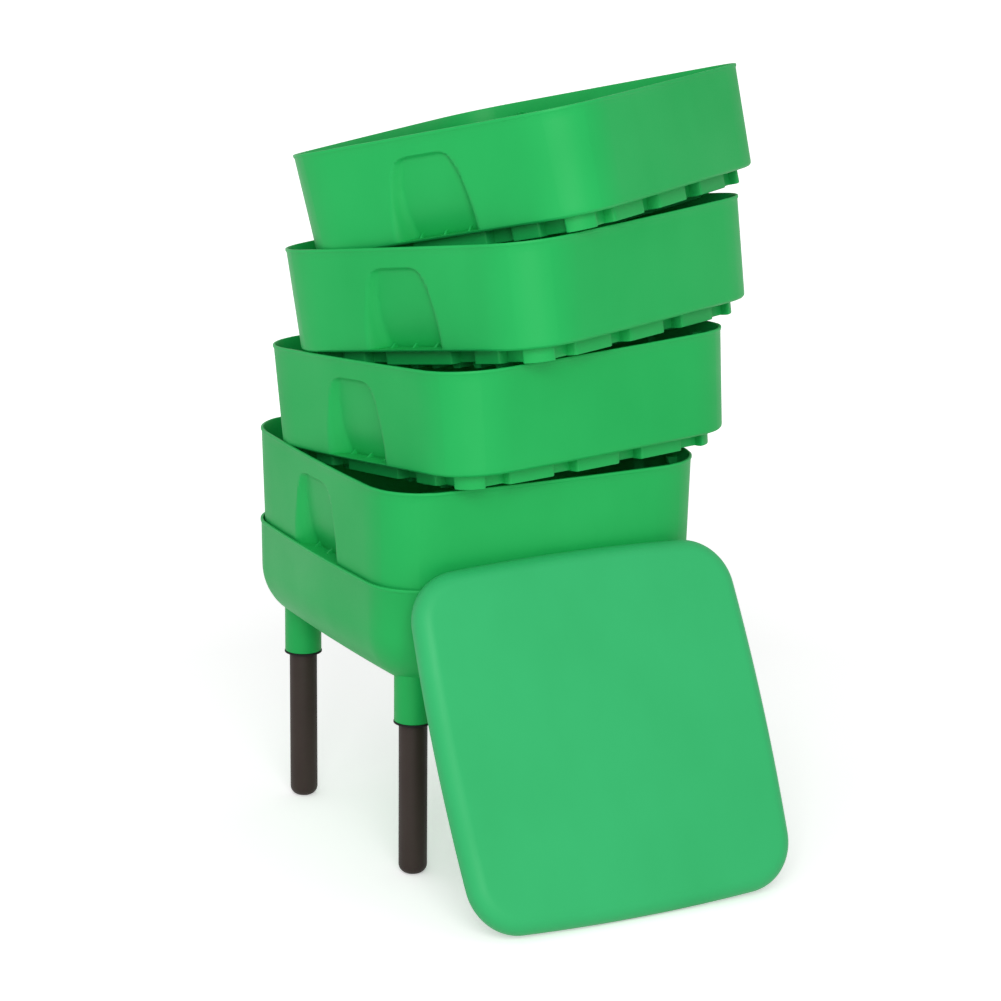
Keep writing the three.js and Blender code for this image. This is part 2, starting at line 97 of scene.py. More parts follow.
@contextmanager
def mesh_open(piece: Piece, mode: str = "VERT", action: str = "SELECT") -> Iterator[None]:
    """Opens a mesh with all its points, edges or faces selected or not, and closes it again."""
    pick(piece)
    bpy.ops.object.mode_set(mode="EDIT")
    bpy.ops.mesh.select_mode(type=mode)
    bpy.ops.mesh.select_all(action=action)
    yield
    bpy.ops.object.mode_set(mode="OBJECT")


@contextmanager
def chosen(piece: Piece, mode: str, test: Test) -> Iterator[None]:
    """Opens a mesh with only the faces or edges selected that pass a test.

    Args:
        piece: The object.
        mode: FACE or EDGE.
        test: Gets a face's middle and normal, or an edge's middle and direction.
    """
    with mesh_open(piece, mode, "DESELECT"):
        bpy.ops.object.mode_set(mode="OBJECT")
        if mode == "FACE":
            for face in piece.data.polygons:
                face.select = test(face.center, face.normal)
        else:
            points = piece.data.vertices
            for edge in piece.data.edges:
                a, b = (points[i].co for i in edge.vertices)
                edge.select = test((a + b) / 2, (b - a).normalized())
        bpy.ops.object.mode_set(mode="EDIT")
        yield


def name_new(name: str) -> Piece:
    """Names the object that an operator has just added, and its mesh."""
    piece = bpy.context.object
    piece.name = name
    piece.data.name = name
    return piece


def settle(piece: Piece) -> Piece:
    """Puts an object's place, turn and scale into its mesh."""
    pick(piece)
    bpy.ops.object.transform_apply(location=True, rotation=True, scale=True)
    return piece


def move_mesh(piece: Piece, matrix: Matrix) -> Piece:
    """Turns and moves a piece, and leaves its object at the origin."""
    piece.matrix_world = matrix @ piece.matrix_world
    return settle(piece)


def lying_at(x: float, y: float, z: float) -> Matrix:
    """Returns the move that lays an upright piece along -Y with its foot at a place."""
    return Matrix.Translation((x, y, z)) @ Matrix.Rotation(QUARTER_TURN, 4, "X")


def middle_of(node: str) -> tuple[float, float]:
    """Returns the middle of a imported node's box, seen from above."""
    low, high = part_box(node)
    return (low.x + high.x) / 2, (low.y + high.y) / 2


def line_up(piece: Piece, node: str) -> Piece:
    """Moves the middle of a piece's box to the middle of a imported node's box."""
    low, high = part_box(node)
    points = [v.co for v in piece.data.vertices]
    mine = [(min(p[i] for p in points) + max(p[i] for p in points)) / 2 for i in range(3)]
    return move_mesh(piece, Matrix.Translation((low + high) / 2 - Vector(mine)))


def copy_of(piece: Piece, name: str) -> Piece:
    """Copies an object together with its mesh."""
    pick(piece)
    bpy.ops.object.duplicate(linked=False)
    return name_new(name)


def joined(pieces: Sequence[Piece], name: str) -> Piece:
    """Makes one object of several."""
    pick(*pieces)
    if len(pieces) > 1:
        bpy.ops.object.join()
    return name_new(name)


def reshape(piece: Piece, kind: str, **settings: Any) -> Piece:
    """Applies a modifier of a kind, with these settings."""
    pick(piece)
    modifier = piece.modifiers.new(kind, kind)
    for name, value in settings.items():
        setattr(modifier, name, value)
    bpy.ops.object.modifier_apply(modifier=modifier.name)
    return piece


def carve(piece: Piece, tool: Piece, cut: Cut, crossing: bool = False) -> Piece:
    """Joins a solid to a piece or cuts it away, also where one crosses itself, and uses it up."""
    reshape(piece, "BOOLEAN", operation=cut.value, solver="EXACT", use_self=crossing, object=tool)
    bpy.data.objects.remove(tool)
    return piece


def soften(piece: Piece, radius: float, segments: int = 3, angle: float = 35) -> Piece:
    """Rounds every edge that is sharper than an angle in degrees."""
    limit = math.radians(angle)
    return reshape(
        piece, "BEVEL", width=radius, segments=segments, limit_method="ANGLE", angle_limit=limit
    )


def round_edges(piece: Piece, radius: float, segments: int, test: Test) -> Piece:
    """Rounds the edges that pass a test."""
    with chosen(piece, "EDGE", test):
        bpy.ops.mesh.bevel(offset=radius, segments=segments, affect="EDGES")
    return piece


def shift_edges(piece: Piece, move: Sequence[float], test: Test) -> Piece:
    """Moves the edges that pass a test."""
    with chosen(piece, "EDGE", test):
        bpy.ops.transform.translate(value=move)
    return piece


def smooth(piece: Piece, angle: float = 32) -> Piece:
    """Shades a piece smoothly, with the edges over an angle in degrees left crisp."""
    pick(piece)
    bpy.ops.object.shade_smooth_by_angle(angle=math.radians(angle))
    return piece


def clean(piece: Piece, reach: float = 1e-6) -> Piece:
    """Merges the points that lie within a reach and turns all faces outwards."""
    with mesh_open(piece):
        bpy.ops.mesh.remove_doubles(threshold=reach)
        bpy.ops.mesh.normals_make_consistent(inside=False)
    return piece


def drop_flaps(piece: Piece) -> Piece:
    """Deletes the faces that lie back to back on the same points."""
    with mesh_open(piece, "FACE", "DESELECT"):
        bpy.ops.object.mode_set(mode="OBJECT")
        alike: dict[frozenset[int], list[bpy.types.MeshPolygon]] = {}
        for face in piece.data.polygons:
            alike.setdefault(frozenset(face.vertices), []).append(face)
        for faces in alike.values():
            for face in faces[len(faces) % 2:]:
                face.select = True
        bpy.ops.object.mode_set(mode="EDIT")
        bpy.ops.mesh.delete(type="FACE")
    return piece


def close_holes(piece: Piece) -> Piece:
    """Closes every opening of a mesh, and turns all faces outwards."""
    with mesh_open(piece):
        bpy.ops.mesh.fill_holes(sides=0)
    return clean(piece)


def block(name: str, low: Sequence[float], high: Sequence[float]) -> Piece:
    """Adds a block between its lowest and its highest corner."""
    middle = [(a + b) / 2 for a, b in zip(low, high)]
    bpy.ops.mesh.primitive_cube_add(size=1, location=middle)
    piece = name_new(name)
    piece.scale = [b - a for a, b in zip(low, high)]
    return settle(piece)


def round_bar(name: str, radius: float, foot: float, head: float, sides: int = 64) -> Piece:
    """Adds an upright round bar on the Z axis, from its foot's to its head's height."""
    bpy.ops.mesh.primitive_cylinder_add(
        vertices=sides, radius=radius, depth=head - foot, location=(0, 0, (foot + head) / 2)
    )
    return settle(name_new(name))


def washer_ring(name: str, inner: float, outer: float, foot: float, head: float) -> Piece:
    """Makes a flat ring between two heights: a disc whose caps are inset, opened and bridged."""
    piece = round_bar(name, outer, foot, head)
    with chosen(piece, "FACE", lambda middle, normal: abs(normal.z) > 0.9):
        bpy.ops.mesh.inset(thickness=outer - inner, depth=0)
        bpy.ops.mesh.bridge_edge_loops()
    return clean(piece)


def wedge(name: str, low: Sequence[float], high: Sequence[float], sink: float) -> Piece:
    """Makes a small rib whose top edge over its lower X side is let down by a length."""
    top, side = high[2], low[0]
    piece = block(name, low, high)
    shift_edges(piece, (0, 0, -sink), lambda m, d: abs(m.z - top) < NEAR and abs(m.x - side) < NEAR)
    return clean(piece, NEAR)


@dataclass(frozen=True)
class RestRibs:
    """The ribs inside a square wall that carry the tray above, two on each side."""

    wall: float
    head: float
    inset: float = 0.115
    reach: float = 0.0125
    height: float = 0.034
    half_width: float = 0.0025
    foot_reach: float = 0.0015

    def model(self) -> list[Piece]:
        """Makes the ribs, each of which reaches less far at its foot."""
        ribs = []
        face, foot = self.reach - self.wall, self.head - self.height
        for turn in SIDES:
            for y in (-self.inset, self.inset):
                low = (-self.wall, y - self.half_width, foot)
                rib = block("rest", low, (face, y + self.half_width, self.head))
                shift_edges(
                    rib,
                    (self.foot_reach - self.reach, 0, 0),
                    lambda m, d: abs(m.x - face) < NEAR and m.z < foot + 0.001 and abs(d.y) > 0.9,
                )
                ribs.append(move_mesh(rib, Matrix.Rotation(turn * QUARTER_TURN, 4, "Z")))
        return ribs


def skin(name: str, rings: Sequence[Ring]) -> Piece:
    """Wraps a grid round a stack of rings and closes both ends.

    Args:
        name: The name of the new object.
        rings: The rings, each with as many points, in order along the surface.

    Returns:
        The closed solid.
    """
    across = len(rings[0])
    bpy.ops.mesh.primitive_grid_add(x_subdivisions=across, y_subdivisions=len(rings) - 1, size=1)
    piece = name_new(name)
    places = [p for ring in rings for p in (*ring, ring[0])]
    piece.data.vertices.foreach_set("co", [c for p in places for c in p])
    piece.data.update()
    with mesh_open(piece):
        bpy.ops.mesh.remove_doubles(threshold=1e-6)
        bpy.ops.mesh.select_all(action="SELECT")
        bpy.ops.mesh.fill_holes(sides=0)
    return clean(piece)


def show(piece: Piece, finish: "Finish", body: str, node: str) -> Piece:
    """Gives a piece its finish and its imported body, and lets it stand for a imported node."""
    piece.data.materials.clear()
    piece.data.materials.append(finish.material())
    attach(piece, body)
    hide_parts(node)
    LOG.info("%s: %d faces in %s", piece.name, len(piece.data.polygons), finish.slot)
    return piece


# Outlines


@dataclass(frozen=True)
class BowedSquare:
    """A square outline with bowed sides and round corners, seen from above."""

    half: float
    corner: float
    bow: float
    tightest: float = 0.003

    def arcs(self, inset: float) -> tuple[float, float, float, float, float]:
        """Works out the arcs of the outline drawn in by an inset.

        Args:
            inset: How far it is drawn in.

        Returns:
            The side's radius, how far its centre lies behind the middle, the corner's radius,
            the corner's centre and the angle at which the two arcs meet.
        """
        side = (self.half**2 + self.bow**2) / (2 * self.bow) - inset
        back = side - (self.half - inset)
        corner = max(self.corner - inset, self.tightest)
        centre = (math.sqrt(2 * (side - corner) ** 2 - back**2) - back) / 2
        return side, back, corner, centre, math.atan2(centre, centre + back)

    def lengths(self) -> tuple[float, float]:
        """Returns the lengths of half a side and of half a corner."""
        side, _, corner, _, swing = self.arcs(0)
        return side * swing, corner * (math.pi / 4 - swing)

    def at(self, along: float, inset: float = 0) -> Vector:
        """Finds a point of the side that faces +X.

        Args:
            along: The distance along the outline from the middle of the side.
            inset: How far the outline is drawn in.

        Returns:
            The point, at height 0.
        """
        half_side, half_corner = self.lengths()
        side, back, corner, centre, swing = self.arcs(inset)
        way = abs(along)
        if way <= half_side:
            angle = swing * way / half_side
            point = Vector((side * math.cos(angle) - back, side * math.sin(angle), 0))
        else:
            share = min((way - half_side) / half_corner, 1)
            angle = swing + share * (math.pi / 4 - swing)
            point = Vector((centre + corner * math.cos(angle), centre + corner * math.sin(angle), 0))
        point.y = math.copysign(point.y, along)
        return point

    def ring(self, stations: Sequence[float], inset: float, height: float) -> Ring:
        """Draws the whole outline at a height, through the same stations on each side."""
        return [turned(self.at(along, inset), side, height) for side in SIDES for along in stations]

    def even_stations(self, side_steps: int, corner_steps: int) -> list[float]:
        """Divides a side and its two half corners evenly, up to where the next side starts."""
        half_side, half_corner = self.lengths()
        corner = [half_side + half_corner * i / corner_steps for i in range(1, corner_steps + 1)]
        sides = [half_side * (2 * i / side_steps - 1) for i in range(side_steps + 1)]
        return [-c for c in reversed(corner)] + sides + corner[:-1]


def turned(point: Vector, side: int, height: float) -> Vector:
    """Turns a point of the +X side to another side and lifts it to a height."""
    moved = Matrix.Rotation(side * QUARTER_TURN, 3, "Z") @ point
    return Vector((moved.x, moved.y, height))


def fall(radius: float, reach: float) -> float:
    """Returns how far a round has fallen away at a reach from where it starts."""
    return radius - math.sqrt(radius**2 - reach**2)


def quarter_round(radius: float, steps: int) -> list[tuple[float, float]]:
    """Returns pairs of inset and height above a level face, from the face up to the wall."""
    angles = [QUARTER_TURN * i / steps for i in range(steps + 1)]
    return [(radius * (1 - math.sin(a)), radius * (1 - math.cos(a))) for a in angles]


def between(table: Table, value: float) -> float:
    """Reads a table of pairs by rising first number, with straight lines between them."""
    if value <= table[0][0]:
        return table[0][1]
    for (low, a), (high, b) in zip(table, table[1:]):
        if value <= high:
            return a + (b - a) * (value - low) / (high - low)
    return table[-1][1]


# Effects that several finishes share


def feed(tree: Tree, value: Socket | float | Colour, target: Socket) -> None:
    """Links a socket to an input, or sets the input to a plain value."""
    if isinstance(value, Socket):
        tree.links.new(value, target)
    else:
        target.default_value = value


def set_inputs(node: bpy.types.Node, values: dict[str, Any]) -> bpy.types.Node:
    """Sets a node's inputs to plain values."""
    for label, value in values.items():
        node.inputs[label].default_value = value
    return node


def noise(tree: Tree, scale: float | Socket, detail: float, vector: Socket) -> Socket:
    """Adds a noise pattern, with its scale in features per metre and its count of finer layers."""
    node = set_inputs(tree.nodes.new("ShaderNodeTexNoise"), {"Detail": detail})
    feed(tree, scale, node.inputs["Scale"])
    feed(tree, vector, node.inputs["Vector"])
    return node.outputs["Fac"]


def spread(
    tree: Tree, value: Socket, source: tuple[float, float], target: tuple[float, float]
) -> Socket:
    """Maps the values of one range to another."""
    ends = zip(("From Min", "From Max", "To Min", "To Max"), (*source, *target))
    node = set_inputs(tree.nodes.new("ShaderNodeMapRange"), dict(ends))
    feed(tree, value, node.inputs["Value"])
    return node.outputs["Result"]


def sum_of(tree: Tree, operation: str, first: Socket, second: Socket | float) -> Socket:
    """Adds a Math node and returns its result."""
    node = tree.nodes.new("ShaderNodeMath")
    node.operation = operation
    feed(tree, first, node.inputs[0])
    feed(tree, second, node.inputs[1])
    return node.outputs[0]


def object_place(tree: Tree) -> Socket:
    """Returns the socket of the Object coordinates in a tree."""
    return tree.nodes.new("ShaderNodeTexCoord").outputs["Object"]


def fill_grain(group: Tree, given: Sockets, result: Sockets) -> None:
    """Makes the fine matt grain of a spark-eroded mould: its height and a mask of its pits."""
    place = object_place(group)
    fine = noise(group, given["Scale"], 3, place)
    coarse = noise(group, sum_of(group, "MULTIPLY", given["Scale"], 0.12), 2, place)
    uneven = sum_of(group, "MULTIPLY", coarse, given["Unevenness"])
    feed(group, sum_of(group, "ADD", fine, uneven), result["Height"])
    feed(group, spread(group, fine, (0.3, 0.5), (1, 0)), result["Pits"])


def fill_drift(group: Tree, given: Sockets, result: Sockets) -> None:
    """Makes the slow drift of tone across a large moulding, around 0.5, and faint flow marks."""
    place = object_place(group)
    drift = noise(group, given["Scale"], 3, place)
    stretch = set_inputs(group.nodes.new("ShaderNodeMapping"), {"Scale": (1.0, 1.0, 0.22)})
    feed(group, place, stretch.inputs["Vector"])
    marks = noise(group, given["Flow"], 4, stretch.outputs["Vector"])
    feed(group, spread(group, drift, (0.25, 0.75), (0, 1)), result["Drift"])
    feed(group, spread(group, marks, (0.35, 0.7), (0, 1)), result["Marks"])


def fill_edges(group: Tree, given: Sockets, result: Sockets) -> None:
    """Makes broken-up masks of convex edges, which get a painted highlight and less roughness, and of
    hollow corners, which get painted shade.
    """
    point = group.nodes.new("ShaderNodeNewGeometry").outputs["Pointiness"]
    patch = noise(group, given["Break"], 3, object_place(group))
    edges = spread(group, point, (0.52, 0.62), (0, 1))
    corners = spread(group, point, (0.38, 0.48), (1, 0))
    patchy = spread(group, patch, (0.3, 0.6), (0.35, 1))
    feed(group, sum_of(group, "MULTIPLY", edges, patchy), result["Edges"])
    feed(group, sum_of(group, "MULTIPLY", corners, patchy), result["Corners"])


EFFECTS = {
    "mould_grain": (fill_grain, {"Scale": 900.0, "Unevenness": 0.3}, ("Height", "Pits")),
    "tone_drift": (fill_drift, {"Scale": 7.0, "Flow": 26.0}, ("Drift", "Marks")),
    # Convex edges are painted lighter as a highlight, and hollow corners darker as shade.
    "painted_edge_light": (fill_edges, {"Break": 60.0}, ("Edges", "Corners")),
}


def effect_group(name: str) -> Tree:
    """Builds the node group of a shared effect once and hands it out again after that."""
    if name in bpy.data.node_groups:
        return bpy.data.node_groups[name]
    fill, inputs, outputs = EFFECTS[name]
    group = bpy.data.node_groups.new(name, "ShaderNodeTree")
    kind = "NodeSocketFloat"
    for label, value in inputs.items():
        socket = group.interface.new_socket(name=label, in_out="INPUT", socket_type=kind)
        socket.default_value = value
    for label in outputs:
        group.interface.new_socket(name=label, in_out="OUTPUT", socket_type=kind)
    start, end = group.nodes.new("NodeGroupInput"), group.nodes.new("NodeGroupOutput")
    fill(group, start.outputs, end.inputs)
    return group


def use_effect(tree: Tree, name: str, values: dict[str, float]) -> Sockets:
    """Places a shared effect in a material, with the material's own values for its inputs."""
    node = tree.nodes.new("ShaderNodeGroup")
    node.node_tree = effect_group(name)
    return set_inputs(node, values).outputs


def blend_colours(
    tree: Tree, mask: Socket, first: Socket | Colour, second: Socket | Colour
) -> Socket:
    """Mixes two colours by a mask that is 0 for the first one and 1 for the second."""
    node = tree.nodes.new("ShaderNodeMix")
    node.data_type = "RGBA"
    for number, value in ((0, mask), (6, first), (7, second)):
        feed(tree, value, node.inputs[number])
    return node.outputs[2]


def linear(red: int, green: int, blue: int) -> Colour:
    """Turns a screen colour, 0 to 255, into the linear one that shaders take."""
    shares = [c / 255 for c in (red, green, blue)]
    return tuple(c / 12.92 if c <= 0.04045 else ((c + 0.055) / 1.055) ** 2.4 for c in shares) + (1.0,)


# Finishes


@dataclass(frozen=True)
class Finish:
    """A moulded or turned finish with drift of tone and grain, a painted highlight on its convex edges and
    painted shade in its hollow corners.
    """

    name: str
    slot: str
    colour: Colour
    deeper: Colour
    # The next colour is painted on convex edges as a highlight.
    painted_highlight: Colour
    roughness: float = 0.42
    roughness_swing: float = 0.08
    grain_scale: float = 900.0
    grain_depth: float = 0.00003
    drift_scale: float = 7.0
    flow_share: float = 0.25
    # The strength of the painted edge highlight; hollow corners get half of it as painted shade.
    painted_light_share: float = 0.35
    edge_polish: float = 0.25
    specular: float = 0.5

    def material(self) -> bpy.types.Material:
        """Builds the finish's material once and hands it out again after that."""
        if self.name in bpy.data.materials:
            return bpy.data.materials[self.name]
        material = bpy.data.materials.new(self.name)
        material.use_nodes = True
        tree = material.node_tree
        shader = set_inputs(tree.nodes["Principled BSDF"], {"Specular IOR Level": self.specular})
        tone = use_effect(tree, "tone_drift", {"Scale": self.drift_scale})
        grain = use_effect(tree, "mould_grain", {"Scale": self.grain_scale})
        edge_paint_masks = use_effect(tree, "painted_edge_light", {})
        marks = sum_of(tree, "MULTIPLY", tone["Marks"], self.flow_share)
        depth = sum_of(tree, "MULTIPLY", tone["Drift"], 1 - self.flow_share)
        colour = blend_colours(tree, sum_of(tree, "ADD", marks, depth), self.colour, self.deeper)
        # Hollow corners are painted towards the deeper colour as shade, and convex edges towards the
        # lighter colour as a highlight.
        corner = sum_of(tree, "MULTIPLY", edge_paint_masks["Corners"], self.painted_light_share * 0.5)
        colour = blend_colours(tree, corner, colour, self.deeper)
        edge = sum_of(tree, "MULTIPLY", edge_paint_masks["Edges"], self.painted_light_share)
        feed(tree, blend_colours(tree, edge, colour, self.painted_highlight), shader.inputs["Base Color"])
        low, high = self.roughness - self.roughness_swing, self.roughness + self.roughness_swing
        matt = spread(tree, tone["Drift"], (0, 1), (low, high))
        pits = sum_of(tree, "MULTIPLY", grain["Pits"], self.roughness_swing)
        polish = sum_of(tree, "MULTIPLY", edge, self.edge_polish)
        matt = sum_of(tree, "SUBTRACT", sum_of(tree, "ADD", matt, pits), polish)
        feed(tree, matt, shader.inputs["Roughness"])
        bump = tree.nodes.new("ShaderNodeBump")
        set_inputs(bump, {"Strength": 1.0, "Distance": self.grain_depth})
        feed(tree, grain["Height"], bump.inputs["Height"])
        feed(tree, bump.outputs["Normal"], shader.inputs["Normal"])
        return material


# The third colour of each finish is its painted edge highlight.
GREEN_MOULDING = Finish(
    "moulded_green", "green_moulding", linear(27, 177, 87), linear(22, 169, 81), linear(62, 200, 116),
    roughness=0.5, grain_depth=0.00004, specular=0.26,
)
# The lid is the trays' green painted paler: painted light for its face that tilts up towards the lamps.
GREEN_LID_PAINTED_PALER = replace(
    GREEN_MOULDING,
    name="moulded_green_lid_painted_paler", colour=linear(50, 182, 109), deeper=linear(46, 176, 103),
)
LEG_BROWN = Finish(
    "painted_brown", "leg_brown", linear(58, 47, 43), linear(48, 38, 34), linear(80, 68, 62),
    roughness=0.55, specular=0.25, grain_scale=700.0, drift_scale=18.0, flow_share=0.6,
)
BLACK_RUBBER = Finish(
    "matt_rubber", "black_rubber", linear(24, 24, 24), linear(17, 17, 17), linear(44, 44, 43),
    roughness=0.75, grain_scale=1400.0, specular=0.3,
)
BLACK_PLASTIC = Finish(
    "dark_plastic", "black_plastic", linear(30, 31, 30), linear(23, 24, 23), linear(58, 59, 57),
    roughness=0.45,
)


# The worm tray. In its tables the first number of a pair is the distance below the rim.

RECESS_HALF_WIDTHS = (
    (0.0205, 0.020), (0.0215, 0.0245), (0.023, 0.0285), (0.026, 0.033), (0.030, 0.036), (0.040, 0.041),
    (0.050, 0.0445), (0.062, 0.0475), (0.075, 0.050), (0.090, 0.052), (0.110, 0.0535),
)
RECESS_DEPTHS = (
    (0.0205, 0.0), (0.0212, 0.0007), (0.022, 0.0018), (0.023, 0.0033), (0.0245, 0.0048), (0.027, 0.0058),
    (0.032, 0.0065), (0.050, 0.0084), (0.065, 0.0100), (0.075, 0.0115), (0.085, 0.0138), (0.095, 0.0168),
    (0.1052, 0.0200),
)
RECESS_SIDE_RUNS = ((0.0205, 0.006), (0.040, 0.008), (0.075, 0.013), (0.1052, 0.019))
TRAY_LIP = (
    (0.0044, 0.001), (0.0036, 0.0006), (0.0028, 0.0001), (0.0024, 0), (0.0009, 0), (0.0003, 0.0002),
    (0, 0.0008), (0, 0.0021), (0.0003, 0.0026), (0.001, 0.0028),
)
WALL_DEPTHS = (
    0.1043, 0.1030, 0.100, 0.0965, 0.092, 0.087, 0.082, 0.077, 0.072, 0.067, 0.062, 0.057, 0.052, 0.047,
    0.042, 0.038, 0.034, 0.0305, 0.028, 0.026, 0.0245, 0.0235, 0.0227, 0.022, 0.0213, 0.0205, 0.0195, 0.012,
)


@dataclass(frozen=True)
class Column:
    """One upright line of a tray's shell, by its distances from the middle of a side."""

    side: int
    outer: float
    inner: float
    bite: float
    notched: bool
    sign: int


@dataclass
class WormTray:
    """One of the worm trays, modelled with the middle of its rim at the origin."""

    rim: BowedSquare = BowedSquare(0.189, 0.061, 0.00565)
    skirt: BowedSquare = BowedSquare(0.167, 0.029, 0.00565)
    floor_middle: BowedSquare = BowedSquare(0.140, 0.045, 0.00565)
    height: float = 0.1082
    wall: float = 0.0028
    lip_stand: float = 0.001
    lip_foot: float = 0.0042
    draft: float = 0.003
    foot_round: float = 0.005
    plate: float = 0.003
    skirt_depth: float = 0.0155
    skirt_round: tuple[tuple[float, float], ...] = ((0, 0.0015), (0.0004, 0.0004), (0.0015, 0))
    skirt_gap_back: float = 0.153
    floor: float = 0.0025
    front_gaps: tuple[tuple[float, float], ...] = ((0.028, 0.056), (0.112, 0.140))
    handle_gaps: tuple[tuple[float, float], ...] = ((0.046, 0.075), (0.109, 0.137))
    gap_margin: float = 0.0012
    block_round: float = 0.003
    recess_top: float = 0.0205
    recess_deep: float = 0.020
    recess_reach: float = 0.060
    recess_pitch: float = 0.003
    front_pitch: float = 0.009
    wall_pitch: float = 0.008
    side_end: float = 0.003
    lines_agree_to: float = 0.080
    least_pitch: float = 0.0014
    corner_steps: int = 9
    rib_pitch: float = 0.029
    rib_rows: int = 9
    rib_half: float = 0.143
    rib_full_to: float = 0.080
    rib_shortening: float = 8
    rib_half_width: float = 0.0075
    rib_taper: float = 8 / 15
    rib_depth: float = 0.008
    rib_round: float = 0.0012
    gusset_places: tuple[float, ...] = (-0.030, 0.0, 0.030)
    gusset_half_width: float = 0.0013
    gusset_reach: tuple[float, float] = (0.007, 0.0015)
    gusset_height: float = 0.0065
    slot_half: tuple[float, float] = (0.050, 0.003)
    slot_pitch: float = 0.128
    rests: RestRibs = RestRibs(0.1839, -0.0115)

    def half_width(self, depth: float) -> float:
        """Finds half the width of the hand recess at a distance below the rim."""
        return between(RECESS_HALF_WIDTHS, depth)

    def recess_depth(self, along: float, depth: float) -> float:
        """Finds how far the hand recess presses in the wall, beside its middle and below the rim."""
        if depth <= self.recess_top:
            return 0.0
        run = between(RECESS_SIDE_RUNS, depth)
        share = min(max((self.half_width(depth) - abs(along)) / run, 0), 1)
        return between(RECESS_DEPTHS, depth) * share * share * (3 - 2 * share)

    def gap_lines(self, low: float, high: float) -> list[tuple[float, float, float, bool]]:
        """Lays out the lines at both sides of a skirt gap, where the blocks are rounded.

        Args:
            low: Where the gap starts.
            high: Where it ends.

        Returns:
            For each line its place outside and inside, its bite and whether it is in the gap.
        """
        found = []
        for edge, way in ((low, 1), (high, -1)):
            for step in range(4):
                # The inner lines lie 0.2 mm apart, so that no face there has a width of nothing.
                back = self.block_round * (1 - step / 3)
                inner = edge - way * (self.wall + 0.0008 - 0.0002 * step)
                bite = fall(self.block_round, self.block_round - back)
                found.append((edge - way * back, inner, bite, False))
            found.append((edge + way * 0.0002, edge - way * self.wall, 0.0, True))
        middle = (low + high) / 2
        found.append((middle, middle, 0.0, True))
        return found

    @cached_property
    def lines(self) -> list[Column]:
        """Lays out the shell's upright lines, close together at each side of a skirt gap.

        Returns:
            The lines, once round the tray.
        """
        found = []
        half_side, half_corner = self.skirt.lengths()
        margin = self.block_round + self.gap_margin
        for side in SIDES:
            handle = side % 2 == 0
            gaps = self.handle_gaps if handle else self.front_gaps
            half = [line for gap in gaps for line in self.gap_lines(*gap)]
            taken = [line[0] for line in half]
            pitch = self.recess_pitch if handle else self.front_pitch
            plain, way = [], 0.0
            while way < half_side - self.side_end:
                plain.append(way)
                way += pitch if way < self.recess_reach else self.wall_pitch
            steps = self.corner_steps
            plain += [half_side + half_corner * i / steps for i in range(steps + 1)]
            for way in plain:
                clear = all(not low - margin < way < high + margin for low, high in gaps)
                apart = min(abs(way - t) for t in taken) > self.least_pitch
                if clear or (handle and way < self.recess_reach and apart):
                    inside = any(low < way < high for low, high in gaps)
                    half.append((way, way, 0.0, inside))
            half.sort()
            end = half_side + half_corner - 1e-6
            found += [Column(side, *line, -1) for line in reversed(half) if line[0] > 0]
            found += [Column(side, *line, 1) for line in half if line[0] < end]
        return found

    def on_wall(self, line: Column) -> float:
        """Finds where a line that is laid out on the skirt meets the wall's outline."""
        same, wall, skirt = self.lines_agree_to, sum(self.rim.lengths()), sum(self.skirt.lengths())
        if line.outer <= same:
            return line.sign * line.outer
        return line.sign * (same + (line.outer - same) * (wall - same) / (skirt - same))

    def wall_ring(self, depth: float, inset: float, pressed: float = 0.0) -> Ring:
        """Draws one ring of the wall.

        Args:
            depth: The distance below the rim.
            inset: How far the ring lies inside the rim's outline.
            pressed: 0 where the hand recess doesn't show, 1 on the outer face, and on the inner
                face 1 plus the wall's thickness.

        Returns:
            The ring.
        """
        ring = []
        for line in self.lines:
            point = self.rim.at(self.on_wall(line), inset)
            if pressed and line.side % 2 == 0:
                grow = pressed - 1
                lower = min(depth + grow, self.height - self.plate)
                point.x -= self.recess_depth(max(abs(point.y) - grow, 0), lower)
            ring.append(turned(point, line.side, -depth))
        return ring

    def skirt_ring(self, depth: float, inset: float, inner: bool = False) -> Ring:
        """Draws one ring of the skirt.

        Args:
            depth: The distance below the rim.
            inset: How far the ring lies inside the skirt's outline.
            inner: Whether it is on the inner face.

        Returns:
            The ring.
        """
        ring = []
        for line in self.lines:
            point = self.skirt.at(line.sign * (line.inner if inner else line.outer), inset)
            if line.notched:
                point.x = min(point.x, self.skirt_gap_back - inset)
            elif not inner:
                point.x -= line.bite
            ring.append(turned(point, line.side, -depth))
        return ring

    def centre_ring(self, depth: float) -> Ring:
        """Draws a plain ring well inside the skirt."""
        whole = sum(self.floor_middle.lengths()) / sum(self.skirt.lengths())
        at = self.floor_middle.at
        return [turned(at(line.sign * line.outer * whole), line.side, -depth) for line in self.lines]

    def outside(self) -> list[Ring]:
        """Draws the rings from under the floor up the skirt and the wall's outer face.

        Returns:
            The rings, up to below the lip.
        """
        under, shelf = self.height + self.skirt_depth, self.height - self.plate
        closing = self.lip_stand + self.draft
        rings = [self.centre_ring(under)]
        rings += [self.skirt_ring(under - rise, inset) for rise, inset in self.skirt_round]
        rings.append(self.skirt_ring(self.height, 0))
        for inset, rise in quarter_round(self.foot_round, 6):
            if rise < self.plate - NEAR:
                rings.append(self.wall_ring(self.height - rise, closing + inset))
        rise_at = closing + fall(self.foot_round, self.foot_round - self.plate)
        rings.append(self.wall_ring(shelf + 0.0002, rise_at))
        rings.append(self.wall_ring(shelf, rise_at, 1))
        for depth in WALL_DEPTHS:
            low = max(self.foot_round - (self.height - depth), 0)
            inset = self.drafted(depth) + fall(self.foot_round, low)
            rings.append(self.wall_ring(depth, inset, 1))
        return rings

    def drafted(self, depth: float) -> float:
        """Returns the inset of the wall's outer face at a distance below the rim."""
        slope = self.draft / (self.height - self.foot_round - self.lip_foot)
        return self.lip_stand + slope * (depth - self.lip_foot)

